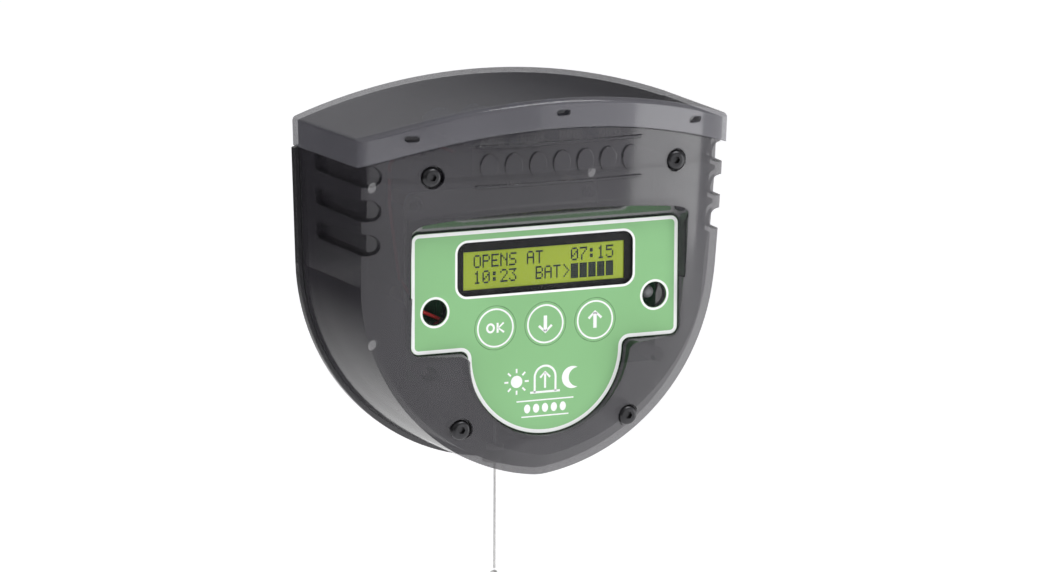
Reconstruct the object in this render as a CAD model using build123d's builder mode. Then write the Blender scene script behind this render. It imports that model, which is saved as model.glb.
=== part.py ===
"""Wall-mounted opener for a poultry house door: a smoked housing with a lift-off battery hood, a
printed front label with a display and three keys, and a geared drum that lets a lift cord down.

Millimetres. X points right, Y into the wall, Z up. The origin lies on the wall, in the middle of
the four fixing holes. A depth is a distance out from the wall, so depth d is the plane y = -d.
"""

import os
from math import acos, cos, degrees, pi, radians, sin, sqrt, tan

from build123d import *

os.makedirs("parts", exist_ok=True)

# Housing outline, measured at the wall
shoulder_half_width = 73.6
shoulder_z = 6.3
flank_radius = 81.1
side_lean = 1.85
tip_radius = 26.0
draft = 2.2

# Crowned front
front_depth = 75.6
front_apex_z = 91.0
front_sweep_radius = 830.0
front_sweep_angle = 13.0
bow_margin = 1.9
bow_rise = 22.0
rim_setback = 20.6
rim_slope = 55.0
rim_start = 10.0
rim_lead_in = 5.0
rim_height = 20.0

# Walls and gaps
plate_thickness = 3.0
plate_proud = 1.7
case_wall = 2.5
seal_thickness = 0.8
seal_inset = 0.3
seal_width = 1.9
fit_gap = 0.3
lip_height = 2.0
lip_width = 1.5

# Battery hood
roof_radius = 221.0
roof_apex_z = 72.6
skirt_height = 10.8
hood_wall = 1.8
hood_proud = 1.2
hood_edge_radius = 2.0
hood_wall_gap = 0.6
hood_play = 0.6
hood_slot_length = 5.4
hood_slot_height = 2.2
hood_slot_x = 56.5
hood_slot_drop = 5.2
shelf_z = 43.0
shelf_thickness = 2.0
shelf_back_depth = 6.0

# Grip recesses wrapped round the two front corners
grip_count = 3
grip_first_z = 16.2
grip_pitch = 12.8
grip_front_height = 7.9
grip_back_height = 5.8
grip_back_depth = 17.0
grip_back_radius = 2.3
grip_taper_end_setback = 18.6
grip_front_inset = 7.6
grip_depth = 2.6
grip_wall = 1.8

# Raised band of eggs on the front
band_half_length = 33.0
band_bottom_z = 41.3
band_top_z = 56.2
band_line = 1.0
band_relief = 0.8
egg_count = 7
egg_pitch = 9.4
egg_half_width = 3.4
egg_half_height = 4.7

# Label and what shows in it
label_setback = 15.1
label_thickness = 0.5
label_half_width = 53.6
label_top_z = 23.1
label_bottom_z = -21.8
label_corner = 3.0
lobe_radius = 31.0
lobe_centre_z = -24.2
pocket_gap = 0.3
pocket_slant = 9.0
pocket_top_slant = 30.0
pocket_top_widening = 1.5
pocket_floor = 2.5
pocket_wall_thickness = 2.3
pocket_reach = 30.0
window_width = 71.0
window_height = 20.6
window_z = 8.6
window_corner = 4.4
pane_gap = 0.1
port_x = 44.2
port_z = -6.4
port_radius = 4.9
port_ledge = 0.4

# Keys
key_pitch = 20.08
key_z = -14.0
key_radius = 8.2
key_gap = 0.15
key_travel = 0.8
key_overrun = 0.5
plunger_radius = 3.0
plunger_gap = 0.3

# Display module
display_z = 7.7
display_recess = 0.8
bezel_width = 71.2
bezel_height = 25.2
bezel_thickness = 7.0
bezel_sheet = 0.5
view_width = 64.7
view_height = 14.3
glass_thickness = 2.6
display_board_width = 80.0
display_board_height = 36.0
board_thickness = 1.6
bezel_gap = 0.9

# Main board
main_board_setback = 13.1
main_board_half_width = 50.0
main_board_bottom_z = -34.0
main_board_top_z = 26.0
board_post_x = 46.0
board_post_z = (20.5, -29.5)
board_post_radius = 3.0
board_screw_radius = 1.2
board_screw_head = 2.6
board_screw_head_height = 1.6
board_screw_length = 8.0
switch_size = 6.0
switch_height = 3.5
switch_stem_radius = 1.75
switch_stem = 1.6
sensor_radius = 2.5
sensor_rim = 0.4
sensor_rim_height = 1.0
sensor_length = 7.0
sensor_dome = 2.3
header_width = 40.6
header_height = 2.5
header_margin = 2.5
corner_hole_radius = 1.25
corner_hole_inset = 2.5
processor_x = 8.0
processor_z = -8.0
processor_size = 12.0
processor_height = 1.8
# Other parts on the back of the board: x, z, width, height and how far each stands off it
board_part_sizes = (
    (-14.0, -6.0, 9.5, 5.0, 1.6),
    (-14.0, -16.0, 9.5, 5.0, 1.6),
    (24.0, -18.0, 11.0, 4.5, 3.4),
    (34.0, -2.0, 7.0, 9.0, 2.4),
    (22.0, 12.0, 5.0, 6.5, 2.2),
    (8.0, 16.0, 8.0, 3.2, 2.6),
)
capacitor_places = ((-30.0, -24.0), (-20.0, -26.0), (30.0, 18.0))
capacitor_radius = 3.15
capacitor_height = 9.0

# Case screws: x, z and how far the seat under the head lies behind the front's furthest point
case_screw_places = ((48.7, 45.5, 8.4), (33.74, -51.3, 16.4))
case_screw_radius = 1.95
case_screw_head_radius = 3.8
case_screw_head_height = 2.2
case_screw_length = 16.0
case_screw_socket = 2.5
head_rounding = 1.5
socket_share = 0.6
cross_slot_length = 3.3
cross_slot_width = 0.7
cross_slot_depth = 0.8
screw_gap = 0.05
counterbore_gap = 0.5
boss_radius = 4.7
boss_length = 9.0
pillar_radius = 4.0

# Fixing holes
fixing_spacing_x = 90.0
fixing_spacing_z = 60.0
fixing_hole_radius = 2.25

# Cord and drum
cord_radius = 0.5
cord_depth = 13.7
winding_inner_radius = 11.0
winding_width = 7.0
drum_core_width = 8.4
drum_flange = 1.2
drum_flange_radius = 14.0
drum_z = 8.0
cord_inner_start_drop = 7.0
guide_radius = 3.4
guide_flange_radius = 4.8
guide_flange = 1.2
guide_bore_radius = 0.9
guide_reach = 2.2
guide_seat_gap = 0.1
cord_drop_length = 42.0
knot_radius = 1.7
ring_radius = 5.2
ring_wire_radius = 0.9

# Gear train, all axles along Y
drum_teeth = 40
idler_small_teeth = 12
idler_large_teeth = 34
pinion_teeth = 12
drum_module = 1.0
motor_module = 0.6
idler_bearing = 160.0
pinion_bearing = 200.0
gear_gap = 0.5
drum_gear_face = 3.0
idler_gear_face = 2.4
pinion_face = 2.8
tooth_backlash = 0.16
bearing_gap = 0.05
drum_axle_radius = 2.0
idler_axle_radius = 1.5
axle_boss = 1.8
axle_boss_wall = 2.0

# Gearbox and motor
gearbox_depth = 20.5
gearbox_thickness = 1.5
gearbox_left_x = -40.0
gearbox_right_x = 38.0
gearbox_bottom_z = -14.0
gearbox_top_z = 31.0
gearbox_corner = 4.0
gearbox_pillar_inset = 4.0
gearbox_pillar_radius = 2.6
gearbox_screw_head = 2.4
gearbox_screw_head_height = 1.5
gearbox_screw_length = 7.0
gearbox_bore_length = 8.0
motor_radius = 8.0
motor_head_length = 9.0
motor_can_length = 12.5
motor_can_step = 0.3
motor_cap_radius = 5.0
motor_cap_height = 1.0
motor_shaft_radius = 1.5
motor_shaft_clearance = 2.0

# Batteries
cell_radius = 7.2
cell_length = 49.2
cell_nub_radius = 2.6
cell_nub_length = 1.0
cell_pitch = 15.6
cell_count = 4
cell_gap = 0.25
tray_wall = 1.6
tray_height = 10.0
tray_back_depth = 8.0
spring_length = 4.0
spring_radius = 3.4
contact_thickness = 0.5
contact_margin = 2.5

# Battery leads: x, how far in front of the main board, and z of each bend, from the tray's side
# to the plug on the board
lead_radius = 0.65
lead_bend = 2.5
lead_spacing = 1.6
lead_route = (
    (-42.0, 1.0, 54.5),
    (-54.0, -1.0, 52.5),
    (-57.0, -1.0, 47.0),
    (-57.0, -1.0, 32.0),
    (-55.0, 3.5, 6.0),
    (-47.0, 5.5, -6.8),
    (-36.0, 5.5, -12.0),
)
lead_start_z = 51.0
lead_slot_length = 7.0
lead_slot_width = 4.0
plug_width = 5.0
plug_height = 6.0
plug_length = 7.5
plug_top_z = -15.5

# Worked out from the sizes above
sky = 160.0  # above everything, where the open top of the housing's outline ends
reach = front_depth + 25.0  # further out than the front
wide = 2 * shoulder_half_width  # further sideways and further down than anything
behind = 20.0  # further back than the wall
bow_half_width = shoulder_half_width + bow_margin
rim_depth = front_depth - rim_setback
label_depth = front_depth - label_setback
main_board_depth = label_depth - main_board_setback
grip_taper_end_depth = front_depth - grip_taper_end_setback
grip_front_x = shoulder_half_width - grip_front_inset
shell_back_depth = plate_thickness + seal_thickness
floor_depth = label_depth - label_thickness
skirt_apex_z = roof_apex_z - skirt_height
shelf_top_z = shelf_z + shelf_thickness
drum_x = winding_inner_radius + cord_radius
idler_distance = drum_module * (drum_teeth + idler_small_teeth) / 2
idler_x = drum_x + idler_distance * cos(radians(idler_bearing))
idler_z = drum_z + idler_distance * sin(radians(idler_bearing))
pinion_distance = motor_module * (idler_large_teeth + pinion_teeth) / 2
pinion_x = idler_x + pinion_distance * cos(radians(pinion_bearing))
pinion_z = idler_z + pinion_distance * sin(radians(pinion_bearing))
drum_front_depth = cord_depth + drum_core_width / 2 + drum_flange
drum_back_depth = cord_depth - drum_core_width / 2 - drum_flange
drum_gear_depth = drum_back_depth - drum_gear_face
idler_gear_depth = drum_back_depth + gear_gap
gearbox_front_depth = gearbox_depth + gearbox_thickness
board_front_depth = main_board_depth + board_thickness
bezel_front_depth = floor_depth - display_recess
display_board_depth = bezel_front_depth - bezel_thickness - board_thickness
drafted = tan(radians(draft))
lead_places = [(x, board_front_depth + forward, z) for x, forward, z in lead_route]
lead_down_x, lead_down_depth = lead_places[3][:2]


def facing(depth):
    """The plane parallel to the wall at a depth, seen from the front."""
    return Plane.XZ.offset(depth)


def slab(low, high):
    """A plain block between two corners, for trimming."""
    size = [h - l for l, h in zip(low, high)]
    middle = [(h + l) / 2 for l, h in zip(low, high)]
    with BuildPart() as solid:
        with Locations(tuple(middle)):
            Box(*size)
    return solid.part


def housing_outline(inset):
    """The shield-shaped outline at the wall, with an open top far above the roof."""
    half = shoulder_half_width - inset
    radius = flank_radius - inset
    sweep = degrees(acos(1 - half / radius))
    with BuildSketch(Plane.XZ) as sketch:
        with BuildLine():
            flank = CenterArc((half - radius, shoulder_z), radius, -side_lean, side_lean - sweep)
            rise = (sin(radians(side_lean)) * sky, cos(radians(side_lean)) * sky)
            side = Line(flank @ 0, flank @ 0 + rise)
            Line(side @ 1, (0, (side @ 1).Y))
            mirror(about=Plane.YZ)
        make_face()
        fillet(sketch.vertices().sort_by(Axis.Y)[0], tip_radius - inset)
    return sketch.sketch


def crowned_front(inset):
    """A solid whose front is half an ellipse in plan, swept up and down on a large radius."""
    back = 12.0
    bow_centre = (0, bow_rise - front_depth)
    half, rise = bow_half_width - inset, bow_rise - inset
    axis_y = front_sweep_radius - front_depth
    with BuildPart() as solid:
        with BuildSketch(Plane.XY.offset(front_apex_z)):
            with BuildLine():
                bow = EllipticalCenterArc(bow_centre, half, rise, start_angle=180, arc_size=180)
                Polyline(bow @ 1, ((bow @ 1).X, back), ((bow @ 0).X, back), bow @ 0)
            make_face()
        revolve(axis=Axis((0, axis_y, front_apex_z), (1, 0, 0)), revolution_arc=front_sweep_angle)
    return solid.part


def rolled_rim(inset):
    """A solid whose sloping flanks roll the front off towards the lower rim."""
    grown = rim_lead_in * tan(radians(rim_slope)) - rim_depth * drafted
    half, radius, tip = shoulder_half_width + grown, flank_radius + grown, tip_radius + grown
    sweep = degrees(acos(1 - half / radius))
    depth = rim_depth - rim_lead_in - inset / sin(radians(rim_slope))
    with BuildPart() as solid:
        with BuildSketch(facing(depth)) as sketch:
            with BuildLine():
                flank = CenterArc((half - radius, shoulder_z), radius, -rim_start, rim_start - sweep)
                rise = (sin(radians(rim_start)) * sky, cos(radians(rim_start)) * sky)
                side = Line(flank @ 0, flank @ 0 + rise)
                Line(side @ 1, (0, (side @ 1).Y))
                mirror(about=Plane.YZ)
            make_face()
            fillet(sketch.vertices().sort_by(Axis.Y)[0], tip)
        extrude(amount=rim_height, taper=rim_slope)
        add(slab((-2 * half, -depth, -sky), (2 * half, behind, 2 * sky)))
        add(slab((-2 * half, -reach, -sky), (2 * half, -depth - rim_height, 2 * sky)))
    return solid.part


def envelope(inset):
    """The whole housing shape, shrunk by inset on its sides and its front."""
    outline, front, rim = housing_outline(inset), crowned_front(inset), rolled_rim(inset)
    with BuildPart() as solid:
        extrude(outline, amount=reach, taper=draft)
        add(front, mode=Mode.INTERSECT)
        add(rim, mode=Mode.INTERSECT)
    return solid.part


def under_arch(apex_z, inset=0.0):
    """Everything below the arch of the roof, with the arch's top at apex_z."""
    radius = roof_radius - inset
    with BuildPart() as solid:
        with BuildSketch(facing(-behind)):
            with Locations((0, apex_z - radius)):
                Circle(radius)
        extrude(amount=reach + 2 * behind)
    return solid.part


def label_outline(margin, depth):
    """A wide rectangle with a round lobe below it, grown by margin."""
    height = label_top_z - label_bottom_z + 2 * margin
    width = 2 * (label_half_width + margin)
    with BuildSketch(facing(depth)) as sketch:
        with Locations((0, (label_top_z + label_bottom_z) / 2)):
            Rectangle(width, height)
        corners = sketch.vertices()
        fillet(corners, label_corner + margin)
        with Locations((0, lobe_centre_z)):
            Circle(lobe_radius + margin)
        reentrant = sketch.vertices().filter_by(
            lambda v: abs(v.Y - (label_bottom_z - margin)) < 0.01 and abs(v.X) < lobe_radius + 2 * margin + 1
        )
        fillet(reentrant, label_corner)
    return sketch.sketch


def label_pocket(margin, depth):
    """The space over the label, opening out towards the front, and more so along its top edge."""
    face = label_outline(margin, depth)
    side = label_half_width + margin
    with BuildPart() as leaning_top:
        with BuildSketch(facing(depth)):
            with Locations((0, (label_top_z + label_bottom_z) / 2)):
                RectangleRounded(2 * side, label_top_z - label_bottom_z + 2 * margin, label_corner + margin)
        extrude(amount=pocket_reach, taper=-pocket_top_slant)
        widened = side + pocket_top_widening
        add(slab((-widened, -reach, 0), (widened, 0, sky)), mode=Mode.INTERSECT)
    with BuildPart() as solid:
        extrude(face, amount=pocket_reach, taper=-pocket_slant)
        add(leaning_top.part)
    return solid.part


def grip_spaces(margin):
    """Tall bands round the front corners, rounded at their inner front end and at their back end."""
    with BuildPart() as seen_from_side:
        for n in range(grip_count):
            low = grip_first_z + n * grip_pitch - margin
            back, bend = margin - grip_back_depth, -grip_taper_end_depth
            with BuildSketch(Plane.YZ.offset(-wide)) as side:
                with BuildLine():
                    Polyline(
                        (back, low),
                        (-reach, low),
                        (-reach, low + grip_front_height + 2 * margin),
                        (bend, low + grip_front_height + 2 * margin),
                        (back, low + grip_back_height + 2 * margin),
                        close=True,
                    )
                make_face()
                fillet(side.vertices().group_by(Axis.X)[-1], grip_back_radius + margin)
            extrude(amount=2 * wide)
    with BuildPart() as spaces:
        for n in range(grip_count):
            middle = grip_first_z + n * grip_pitch + grip_front_height / 2
            height = grip_front_height + 2 * margin
            inner = grip_front_x - margin
            with BuildSketch(facing(0)):
                for side_sign in (-1, 1):
                    with Locations((side_sign * (inner + height / 2), middle)):
                        Circle(height / 2)
                    with Locations((side_sign * (inner + height / 2 + wide / 2), middle)):
                        Rectangle(wide, height)
            extrude(amount=reach)
        add(seen_from_side.part, mode=Mode.INTERSECT)
    return spaces.part


def pins(places, radius, near, far):
    """Round bars along Y between two depths."""
    with BuildPart() as solid:
        with BuildSketch(facing(near)):
            with Locations(*places):
                Circle(radius)
        extrude(amount=far - near)
    return solid.part


def cross_slot(x, z, top, into):
    """A cross recess in a screw head whose top lies at a depth; into is 1 when it sinks frontwards."""
    with BuildPart() as solid:
        with BuildSketch(facing(top)):
            with Locations((x, z)):
                Rectangle(cross_slot_length, cross_slot_width)
                Rectangle(cross_slot_width, cross_slot_length)
        extrude(amount=into * cross_slot_depth)
    return solid.part


def gear(teeth, module, x, z, near, far, bore, first_tooth):
    """A spur gear with 20-degree flanks, one tooth centred at the bearing first_tooth in degrees."""
    pressure = radians(20)
    pitch = module * teeth / 2
    base = pitch * cos(pressure)
    root, tip = pitch - 1.25 * module, pitch + 0.92 * module

    def half_angle(radius):
        lean = acos(min(base / radius, 1.0))
        involute = (tan(pressure) - pressure) - (tan(lean) - lean)
        return pi / (2 * teeth) - tooth_backlash / (2 * pitch) + involute

    low = max(root, base)
    with BuildPart() as solid:
        with BuildSketch(facing(near)):
            with BuildLine():
                outline = []
                for n in range(teeth):
                    middle = radians(first_tooth) + 2 * pi * n / teeth
                    flank = [(root, half_angle(low)), (pitch, half_angle(pitch)), (tip, half_angle(tip))]
                    for radius, half in [(r, -h) for r, h in flank] + flank[::-1]:
                        bearing = middle + half
                        outline.append((x + radius * cos(bearing), z + radius * sin(bearing)))
                Polyline(*outline, close=True)
            make_face()
            with Locations((x, z)):
                Circle(bore, mode=Mode.SUBTRACT)
        extrude(amount=far - near)
    return solid.part


def write(part, name):
    """Labels a finished piece and writes it."""
    part.label = name
    export_step(part, f"parts/{name}.step")


# Shapes that several pieces share
both_sides = [(sign * x, z, front_depth - back) for x, z, back in case_screw_places for sign in (-1, 1)]
board_posts = [(sign * board_post_x, z) for sign in (-1, 1) for z in board_post_z]
fixing_places = [
    (sx * fixing_spacing_x / 2, sz * fixing_spacing_z / 2) for sx in (-1, 1) for sz in (-1, 1)
]
key_places = {"ok_key": -key_pitch, "down_key": 0.0, "up_key": key_pitch}
outer_shape = envelope(0)
hood_seat_inset = hood_wall - hood_proud + hood_play
seat_shape = envelope(hood_seat_inset)
inner_shape = envelope(case_wall)
behind_shell = slab((-wide, -shell_back_depth, -wide), (wide, behind, sky))

# Rain hood: a lift-off cap over the battery bay
hood_outer = envelope(-hood_proud)
hood_inner = envelope(hood_wall - hood_proud)
roof = under_arch(roof_apex_z)
roof_inside = under_arch(roof_apex_z - hood_wall, hood_wall)
below_skirt = under_arch(skirt_apex_z)
with BuildPart() as hood_space:
    add(hood_inner)
    add(roof_inside, mode=Mode.INTERSECT)
with BuildPart() as rain_hood:
    add(hood_outer)
    add(roof, mode=Mode.INTERSECT)
    roof_face = rain_hood.faces().filter_by(GeomType.CYLINDER).sort_by(Axis.Z)[-1]
    fillet(roof_face.edges().filter_by(lambda e: e.center().Y < -hood_wall), hood_edge_radius)
    add(below_skirt, mode=Mode.SUBTRACT)
    add(hood_space.part, mode=Mode.SUBTRACT)
    add(slab((-wide, -hood_wall_gap, -wide), (wide, behind, sky)), mode=Mode.SUBTRACT)
    with BuildSketch(facing(rim_depth - rim_lead_in)):
        for x in (-hood_slot_x, 0, hood_slot_x):
            arch_z = roof_apex_z - roof_radius + sqrt(roof_radius**2 - x**2)
            with Locations((x, arch_z - hood_slot_drop)):
                SlotOverall(hood_slot_length, hood_slot_height)
    extrude(amount=reach, mode=Mode.SUBTRACT)
write(rain_hood.part, "rain_hood")

# Front case: the smoked shell, with the label's pocket, the grip recesses, bosses and a shelf
grips = grip_spaces(0)
with BuildPart() as grip_cuts:
    add(grips)
    add(envelope(grip_depth), mode=Mode.SUBTRACT)
with BuildPart() as grip_backs:
    add(grip_spaces(grip_wall))
    add(envelope(grip_depth + grip_wall), mode=Mode.SUBTRACT)
pocket = label_pocket(pocket_gap, floor_depth)
pocket_wall = label_pocket(pocket_gap + pocket_wall_thickness, floor_depth - pocket_floor)

with BuildPart() as raised_band:
    with BuildSketch(facing(rim_depth)):
        for z in (band_bottom_z, band_top_z):
            with Locations((0, z)):
                Rectangle(2 * band_half_length, band_line)
        with Locations((0, (band_bottom_z + band_top_z) / 2)):
            with GridLocations(egg_pitch, 1, egg_count, 1):
                Ellipse(egg_half_width, egg_half_height)
    extrude(amount=reach)
    add(envelope(-band_relief), mode=Mode.INTERSECT)

with BuildPart() as hollow:
    add(inner_shape)
    add(slab((-wide, -reach, shelf_z), (wide, -shelf_back_depth, shelf_top_z)), mode=Mode.SUBTRACT)
    add(pocket_wall, mode=Mode.SUBTRACT)
    add(grip_backs.part, mode=Mode.SUBTRACT)
    for x, z, seat in both_sides:
        add(pins([(x, z)], boss_radius, seat - boss_length, reach), mode=Mode.SUBTRACT)
    add(pins(board_posts, board_post_radius, board_front_depth, reach), mode=Mode.SUBTRACT)

with BuildPart() as hood_seat:
    add(seat_shape)
    add(under_arch(roof_apex_z - hood_wall - fit_gap, hood_wall + fit_gap), mode=Mode.INTERSECT)
tip_outer_z = outer_shape.bounding_box().min.Z
with BuildPart() as guide_hole:
    with BuildSketch(Plane.XY.offset(tip_outer_z - 5)):
        with Locations((0, -cord_depth)):
            Circle(guide_radius)
    extrude(amount=15)
with BuildPart() as front_case:
    add(outer_shape)
    add(under_arch(skirt_apex_z - fit_gap), mode=Mode.INTERSECT)
    add(hood_seat.part)
    add(raised_band.part)
    add(behind_shell, mode=Mode.SUBTRACT)
    add(hollow.part, mode=Mode.SUBTRACT)
    add(pocket, mode=Mode.SUBTRACT)
    add(grip_cuts.part, mode=Mode.SUBTRACT)
    for x, z, seat in both_sides:
        head_radius = case_screw_head_radius + counterbore_gap
        add(pins([(x, z)], head_radius, seat, reach), mode=Mode.SUBTRACT)
        add(pins([(x, z)], case_screw_radius + screw_gap, 0, reach), mode=Mode.SUBTRACT)
        clear = pillar_radius + fit_gap
        add(pins([(x, z)], clear, 0, seat - boss_length), mode=Mode.SUBTRACT)
    post_bore = board_screw_radius
    add(pins(board_posts, post_bore, 0, board_front_depth + board_screw_length), mode=Mode.SUBTRACT)
    with BuildSketch(facing(floor_depth - pocket_floor - 1)):
        with Locations((0, display_z)):
            Rectangle(bezel_width + 2 * bezel_gap, bezel_height + 2 * bezel_gap)
        with Locations((-port_x, port_z), (port_x, port_z)):
            Circle(port_radius - port_ledge)
        with Locations(*[(x, key_z) for x in key_places.values()]):
            Circle(plunger_radius + plunger_gap)
    extrude(amount=reach, mode=Mode.SUBTRACT)
    with BuildSketch(facing(floor_depth)):
        with Locations(*[(x, key_z) for x in key_places.values()]):
            Circle(key_radius + key_gap)
    extrude(amount=-(key_travel + key_overrun), mode=Mode.SUBTRACT)

    add(guide_hole.part, mode=Mode.SUBTRACT)
    with BuildSketch(Plane.XY.offset(shelf_z - 1)):
        with Locations((lead_down_x, lead_spacing / 2 - lead_down_depth)):
            SlotOverall(lead_slot_length, lead_slot_width, rotation=90)
    extrude(amount=shelf_thickness + 2, mode=Mode.SUBTRACT)
write(front_case.part, "front_case")

# Back plate: fixed to the wall, with pillars for the case screws and bosses for the two axles
wide_plate = housing_outline(-plate_proud)
narrow_plate = housing_outline(hood_seat_inset)
lip_outer = housing_outline(case_wall + fit_gap)
lip_inner = housing_outline(case_wall + fit_gap + lip_width)
axles = ((drum_x, drum_z, drum_axle_radius), (idler_x, idler_z, idler_axle_radius))
with BuildPart() as wide_back:
    extrude(wide_plate, amount=plate_thickness)
    add(under_arch(skirt_apex_z - 2 * fit_gap), mode=Mode.INTERSECT)
with BuildPart() as narrow_back:
    extrude(narrow_plate, amount=plate_thickness)
    seat_drop = hood_wall + fit_gap
    add(under_arch(roof_apex_z - seat_drop, seat_drop), mode=Mode.INTERSECT)
with BuildPart() as lip:
    extrude(lip_outer, amount=plate_thickness + lip_height)
    extrude(lip_inner, amount=plate_thickness + lip_height, mode=Mode.SUBTRACT)
    add(slab((-wide, -reach, -wide), (wide, 0, shelf_z - 1)), mode=Mode.INTERSECT)
with BuildPart() as back_plate:
    add(wide_back.part)
    add(narrow_back.part)
    add(lip.part)
    for x, z, seat in both_sides:
        add(pins([(x, z)], pillar_radius, plate_thickness / 2, seat - boss_length - fit_gap))
        thread_depth = seat - case_screw_length - 2
        thread_bore = case_screw_radius + screw_gap / 2
        add(pins([(x, z)], thread_bore, thread_depth, reach), mode=Mode.SUBTRACT)
    for x, z, radius in axles:
        add(pins([(x, z)], radius + axle_boss_wall, plate_thickness / 2, plate_thickness + axle_boss))
        add(pins([(x, z)], radius, plate_thickness / 2, reach), mode=Mode.SUBTRACT)
    add(pins(fixing_places, fixing_hole_radius, -1, plate_thickness + 1), mode=Mode.SUBTRACT)
write(back_plate.part, "back_plate")

# Seal: a soft strip between the plate and the shell, open at the top under the hood
seal_outer = housing_outline(seal_inset)
seal_inner = housing_outline(seal_inset + seal_width)
with BuildPart() as case_seal:
    extrude(seal_outer, amount=shell_back_depth)
    extrude(seal_inner, amount=shell_back_depth, mode=Mode.SUBTRACT)
    add(slab((-wide, -shell_back_depth, -wide), (wide, -plate_thickness, shelf_z)), mode=Mode.INTERSECT)
write(case_seal.part, "case_seal")

# Case screws: four button heads with hexagon sockets
with BuildPart() as case_screws:
    for x, z, seat in both_sides:
        with BuildSketch(facing(seat)):
            with Locations((x, z)):
                Circle(case_screw_head_radius)
        extrude(amount=case_screw_head_height)
        tops = case_screws.edges().filter_by(GeomType.CIRCLE).group_by(lambda e: abs(e.arc_center.X - x))[0]
        fillet(tops.group_by(lambda e: abs(e.arc_center.Z - z))[0].sort_by(Axis.Y)[0], head_rounding)
        with BuildSketch(facing(seat + case_screw_head_height)):
            with Locations((x, z)):
                RegularPolygon(case_screw_socket / 2, 6, major_radius=False)
        extrude(amount=-case_screw_head_height * socket_share, mode=Mode.SUBTRACT)
        with BuildSketch(facing(seat)):
            with Locations((x, z)):
                Circle(case_screw_radius)
        extrude(amount=-case_screw_length)
write(case_screws.part, "case_screws")

# Front label, its clear windows and the three keys that press through it
label_face = label_outline(0, floor_depth)
with BuildPart() as label_panel:
    extrude(label_face, amount=label_thickness)
    with BuildSketch(facing(floor_depth)):
        with Locations((0, window_z)):
            RectangleRounded(window_width, window_height, window_corner)
        with Locations((-port_x, port_z), (port_x, port_z)):
            Circle(port_radius)
        with Locations(*[(x, key_z) for x in key_places.values()]):
            Circle(key_radius + key_gap)
    extrude(amount=label_thickness, mode=Mode.SUBTRACT)
write(label_panel.part, "label_panel")

with BuildPart() as display_window:
    with BuildSketch(facing(floor_depth)):
        with Locations((0, window_z)):
            RectangleRounded(
                window_width - 2 * pane_gap, window_height - 2 * pane_gap, window_corner - pane_gap
            )
    extrude(amount=label_thickness)
write(display_window.part, "display_window")

with BuildPart() as port_windows:
    with BuildSketch(facing(floor_depth)):
        with Locations((-port_x, port_z), (port_x, port_z)):
            Circle(port_radius - pane_gap)
    extrude(amount=label_thickness)
write(port_windows.part, "port_windows")

plunger_end_depth = board_front_depth + switch_height + switch_stem + key_travel + key_gap
for name, x in key_places.items():
    with BuildPart() as key:
        with BuildSketch(facing(floor_depth)):
            with Locations((x, key_z)):
                Circle(key_radius)
        extrude(amount=label_thickness)
        with BuildSketch(facing(plunger_end_depth)):
            with Locations((x, key_z)):
                Circle(plunger_radius)
        extrude(amount=floor_depth - plunger_end_depth)
    write(key.part, name)

# Display module: a sheet-metal bezel over the glass and its backlight, on a board of its own
with BuildPart() as display_bezel:
    with BuildSketch(facing(bezel_front_depth - bezel_thickness)):
        with Locations((0, display_z)):
            Rectangle(bezel_width, bezel_height)
    extrude(amount=bezel_thickness)
    with BuildSketch(facing(bezel_front_depth - bezel_thickness)):
        with Locations((0, display_z)):
            Rectangle(bezel_width - 2 * bezel_sheet, bezel_height - 2 * bezel_sheet)
    extrude(amount=bezel_thickness - bezel_sheet, mode=Mode.SUBTRACT)
    with BuildSketch(facing(bezel_front_depth)):
        with Locations((0, display_z)):
            Rectangle(view_width, view_height)
    extrude(amount=-bezel_sheet, mode=Mode.SUBTRACT)
write(display_bezel.part, "display_bezel")

glass_front = bezel_front_depth - bezel_sheet
inside_width = bezel_width - 2 * bezel_sheet - fit_gap
inside_height = bezel_height - 2 * bezel_sheet - fit_gap
with BuildPart() as display_glass:
    with BuildSketch(facing(glass_front - glass_thickness)):
        with Locations((0, display_z)):
            Rectangle(inside_width, inside_height)
    extrude(amount=glass_thickness)
write(display_glass.part, "display_glass")

with BuildPart() as display_backlight:
    with BuildSketch(facing(display_board_depth + board_thickness)):
        with Locations((0, display_z)):
            Rectangle(inside_width, inside_height)
    extrude(amount=glass_front - glass_thickness - display_board_depth - board_thickness)
write(display_backlight.part, "display_backlight")

with BuildPart() as display_board:
    with BuildSketch(facing(display_board_depth)):
        with Locations((0, display_z)):
            Rectangle(display_board_width, display_board_height)
            with GridLocations(
                display_board_width - 2 * corner_hole_inset, display_board_height - 2 * corner_hole_inset, 2, 2
            ):
                Circle(corner_hole_radius, mode=Mode.SUBTRACT)
    extrude(amount=board_thickness)
write(display_board.part, "display_board")

header_z = display_z + display_board_height / 2 - header_margin
with BuildPart() as display_header:
    with BuildSketch(facing(board_front_depth)):
        with Locations((0, header_z)):
            Rectangle(header_width, header_height)
    extrude(amount=display_board_depth - board_front_depth)
write(display_header.part, "display_header")

# Main board with its switches, sensor, processor and other parts
with BuildPart() as main_board:
    with BuildSketch(facing(main_board_depth)):
        with Locations((0, (main_board_top_z + main_board_bottom_z) / 2)):
            Rectangle(2 * main_board_half_width, main_board_top_z - main_board_bottom_z)
        with Locations(*board_posts):
            Circle(board_screw_radius + fit_gap, mode=Mode.SUBTRACT)
    extrude(amount=board_thickness)
write(main_board.part, "main_board")

with BuildPart() as board_screws:
    head_depth = main_board_depth - board_screw_head_height
    add(pins(board_posts, board_screw_head, head_depth, main_board_depth))
    for x, z in board_posts:
        add(cross_slot(x, z, head_depth, 1), mode=Mode.SUBTRACT)
    add(pins(board_posts, board_screw_radius, main_board_depth, main_board_depth + board_screw_length))
write(board_screws.part, "board_screws")

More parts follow.
